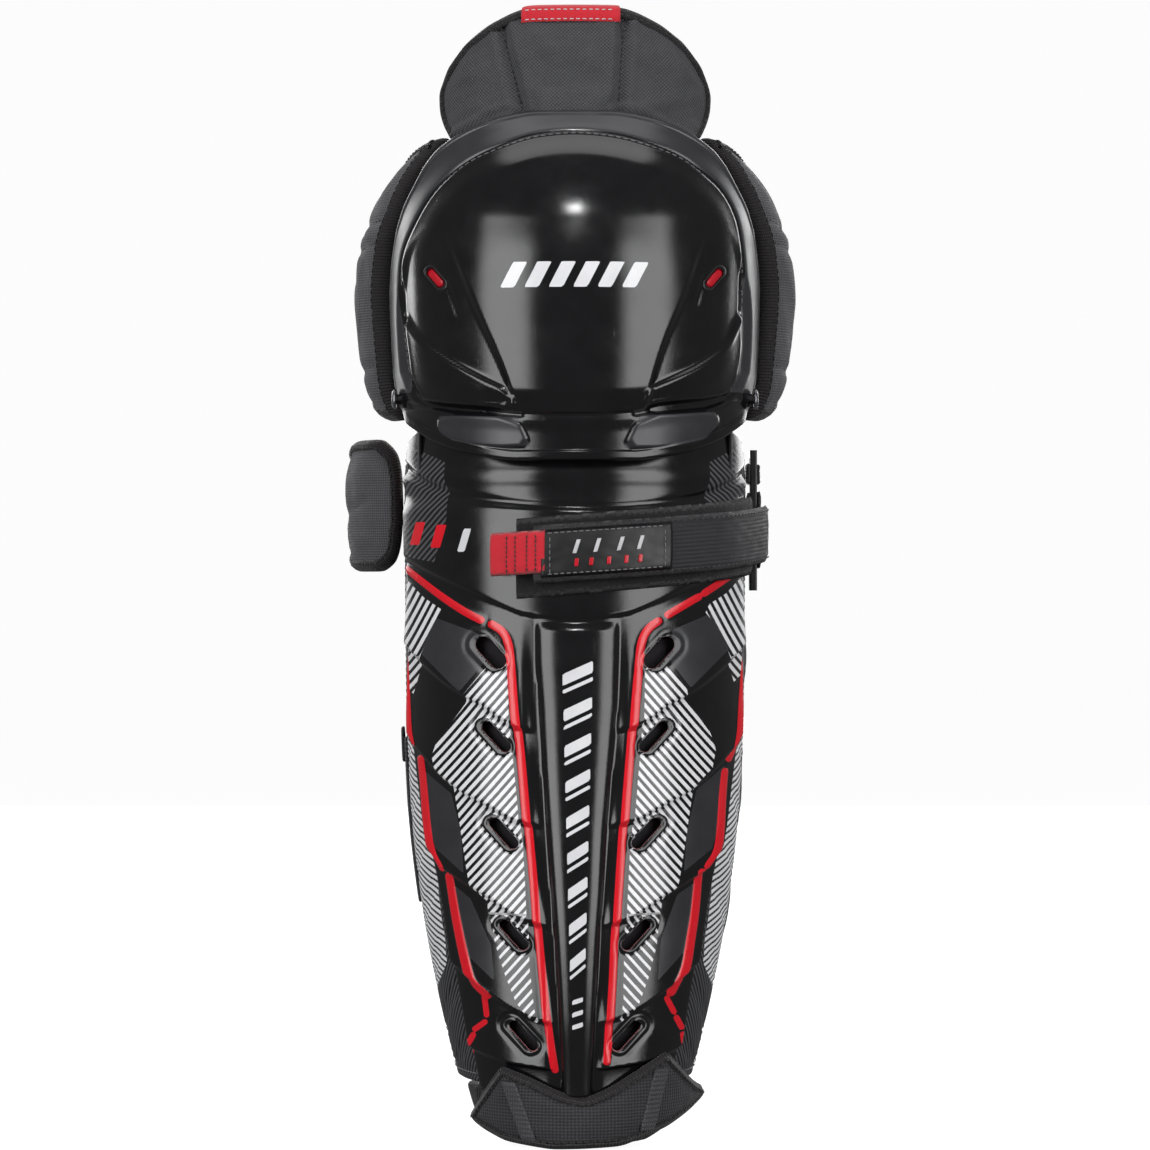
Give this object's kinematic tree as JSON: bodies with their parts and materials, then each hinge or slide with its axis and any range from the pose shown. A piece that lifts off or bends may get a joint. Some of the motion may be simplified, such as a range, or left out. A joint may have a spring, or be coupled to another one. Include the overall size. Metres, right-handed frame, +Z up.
{
  "type": "hockey shin guard",
  "caption": "Hard-shell ice hockey shin guard for the right leg, with a pivoting knee cap, folding pads, calf wraps, straps and a removable liner.",
  "frame": {"origin": "middle of the wearer's knee, level with the centre of the knee cap", "axes": "+Z up the leg, -Y towards the front of the leg, +X towards the inner side of the right leg"},
  "size_m": [0.223, 0.1977, 0.5478],
  "materials": {
    "shell": "high gloss moulded plastic",
    "side_shell": "gloss moulded plastic",
    "steel": "blackened steel",
    "ring_plastic": "gloss moulded plastic",
    "textured_fabric": "embossed woven nylon over foam",
    "mesh_fabric": "open knitted mesh",
    "binding_fabric": "folded knitted edge tape",
    "foam": "closed-cell foam",
    "liner_red": "embossed polyester",
    "liner_panel": "moulded foam with a smooth skin",
    "webbing": "woven nylon webbing",
    "strap_webbing": "ribbed elastic webbing",
    "touch_loop": "brushed loop fabric",
    "touch_hook": "touch tape hooks",
    "red_plastic": "gloss moulded plastic",
    "red_fabric": "woven fabric",
    "label_plate": "flexible moulded rubber",
    "label_white": "woven label"
  },
  "bodies": {
    "shin": {"shin_cap": "shell", "side_panel_medial": "side_shell", "side_panel_lateral": "side_shell", "shin_foam": "foam", "shin_lining": "mesh_fabric", "shin_touch_tape": "touch_loop", "base_binding": "binding_fabric", "pivot_rivets": "steel", "pivot_washers": "steel", "strap_ring": "ring_plastic", "ring_tab": "webbing", "lock_strap_loop": "touch_loop"},
    "knee": {"knee_cap": "shell", "knee_foam": "foam", "knee_lining": "mesh_fabric", "knee_vent_inserts": "red_plastic"},
    "thigh": {"thigh_pad": "textured_fabric", "thigh_lining": "mesh_fabric", "thigh_binding": "binding_fabric", "thigh_tab": "red_fabric"},
    "pull_loop": {"pull_loop": "webbing"},
    "knee_wing_lateral": {"knee_wing_lateral_pad": "textured_fabric", "knee_wing_lateral_lining": "mesh_fabric", "knee_wing_lateral_binding": "binding_fabric"},
    "knee_wing_medial": {"knee_wing_medial_pad": "textured_fabric", "knee_wing_medial_lining": "mesh_fabric", "knee_wing_medial_binding": "binding_fabric"},
    "calf_wrap_lateral": {"calf_wrap_lateral_pad": "textured_fabric", "calf_wrap_lateral_lining": "mesh_fabric", "calf_wrap_lateral_binding": "binding_fabric", "calf_accent": "liner_red", "calf_strap_outer": "strap_webbing", "strap_keeper": "red_plastic"},
    "calf_wrap_medial": {"calf_wrap_medial_pad": "textured_fabric", "calf_wrap_medial_lining": "mesh_fabric", "calf_wrap_medial_binding": "binding_fabric", "side_label": "red_fabric"},
    "calf_wing": {"calf_wing_pad": "textured_fabric", "calf_wing_lining": "mesh_fabric", "calf_wing_binding": "binding_fabric", "calf_wing_stripe": "liner_red"},
    "calf_strap": {"calf_strap_inner": "strap_webbing", "calf_strap_tab": "red_fabric"},
    "lock_strap": {"lock_strap_web": "webbing", "lock_strap_touch_tape": "touch_hook", "lock_strap_label": "label_plate", "lock_strap_tab": "red_fabric"},
    "ankle_flap": {"ankle_face": "textured_fabric", "ankle_foam": "foam"},
    "liner": {"liner_foam": "foam", "liner_cover": "liner_red", "liner_side_panel": "liner_panel", "liner_binding": "binding_fabric", "liner_touch_tape": "touch_hook"},
    "liner_knee": {"liner_knee_foam": "foam", "liner_knee_cover": "liner_red", "liner_knee_binding": "binding_fabric", "knee_ring_pad": "liner_red", "knee_mesh": "mesh_fabric", "liner_label": "label_white"}
  },
  "joints": [
    {"name": "knee_flex", "type": "hinge", "parent": "shin", "child": "knee", "pos_m": [0, -0.036, -0.0526], "axis": [-1, 0, 0], "range_deg": [0, 12]},
    {"name": "thigh_tilt", "type": "hinge", "parent": "knee", "child": "thigh", "pos_m": [0, -0.056, 0.084], "axis": [1, 0, 0], "range_deg": [-10, 20]},
    {"name": "pull_loop_swing", "type": "hinge", "parent": "thigh", "child": "pull_loop", "pos_m": [0, -0.041, 0.131], "axis": [1, 0, 0], "range_deg": [0, 60]},
    {"name": "knee_wing_lateral_fold", "type": "hinge", "parent": "knee", "child": "knee_wing_lateral", "pos_m": [-0.088, -0.021, 0], "axis": [0, 0, 1], "range_deg": [-10, 20]},
    {"name": "knee_wing_medial_fold", "type": "hinge", "parent": "knee", "child": "knee_wing_medial", "pos_m": [0.088, -0.021, 0], "axis": [0, 0, -1], "range_deg": [-10, 20]},
    {"name": "calf_wrap_lateral_fold", "type": "hinge", "parent": "shin", "child": "calf_wrap_lateral", "pos_m": [-0.079, 0.0135, -0.228], "axis": [0, 0, 1], "range_deg": [-12, 25]},
    {"name": "calf_wrap_medial_fold", "type": "hinge", "parent": "shin", "child": "calf_wrap_medial", "pos_m": [0.079, 0.0135, -0.22], "axis": [0, 0, -1], "range_deg": [-12, 25]},
    {"name": "calf_wing_fold", "type": "hinge", "parent": "calf_wrap_lateral", "child": "calf_wing", "pos_m": [-0.085, 0.013, -0.103], "axis": [0, 0, 1], "range_deg": [0, 45]},
    {"name": "calf_strap_fold", "type": "hinge", "parent": "calf_wrap_lateral", "child": "calf_strap", "pos_m": [-0.0725, 0.023, -0.238], "axis": [0, 0, -1], "range_deg": [0, 30]},
    {"name": "lock_strap_peel", "type": "hinge", "parent": "shin", "child": "lock_strap", "pos_m": [0.0934, 0.0025, -0.118], "axis": [0, 0, 1], "range_deg": [0, 60]},
    {"name": "ankle_flex", "type": "hinge", "parent": "shin", "child": "ankle_flap", "pos_m": [0, -0.079, -0.374], "axis": [-1, 0, 0], "range_deg": [0, 10]},
    {"name": "liner_removal", "type": "slide", "parent": "shin", "child": "liner", "axis": [0, 1, 0], "range_m": [0, 0.17]},
    {"name": "liner_knee_flex", "type": "hinge", "parent": "liner", "child": "liner_knee", "pos_m": [0, -0.036, -0.0526], "axis": [-1, 0, 0], "range_deg": [0, 12]}
  ],
  "couplings": [
    {"joint": "liner_knee_flex", "follows": "knee_flex", "ratio": 1}
  ]
}
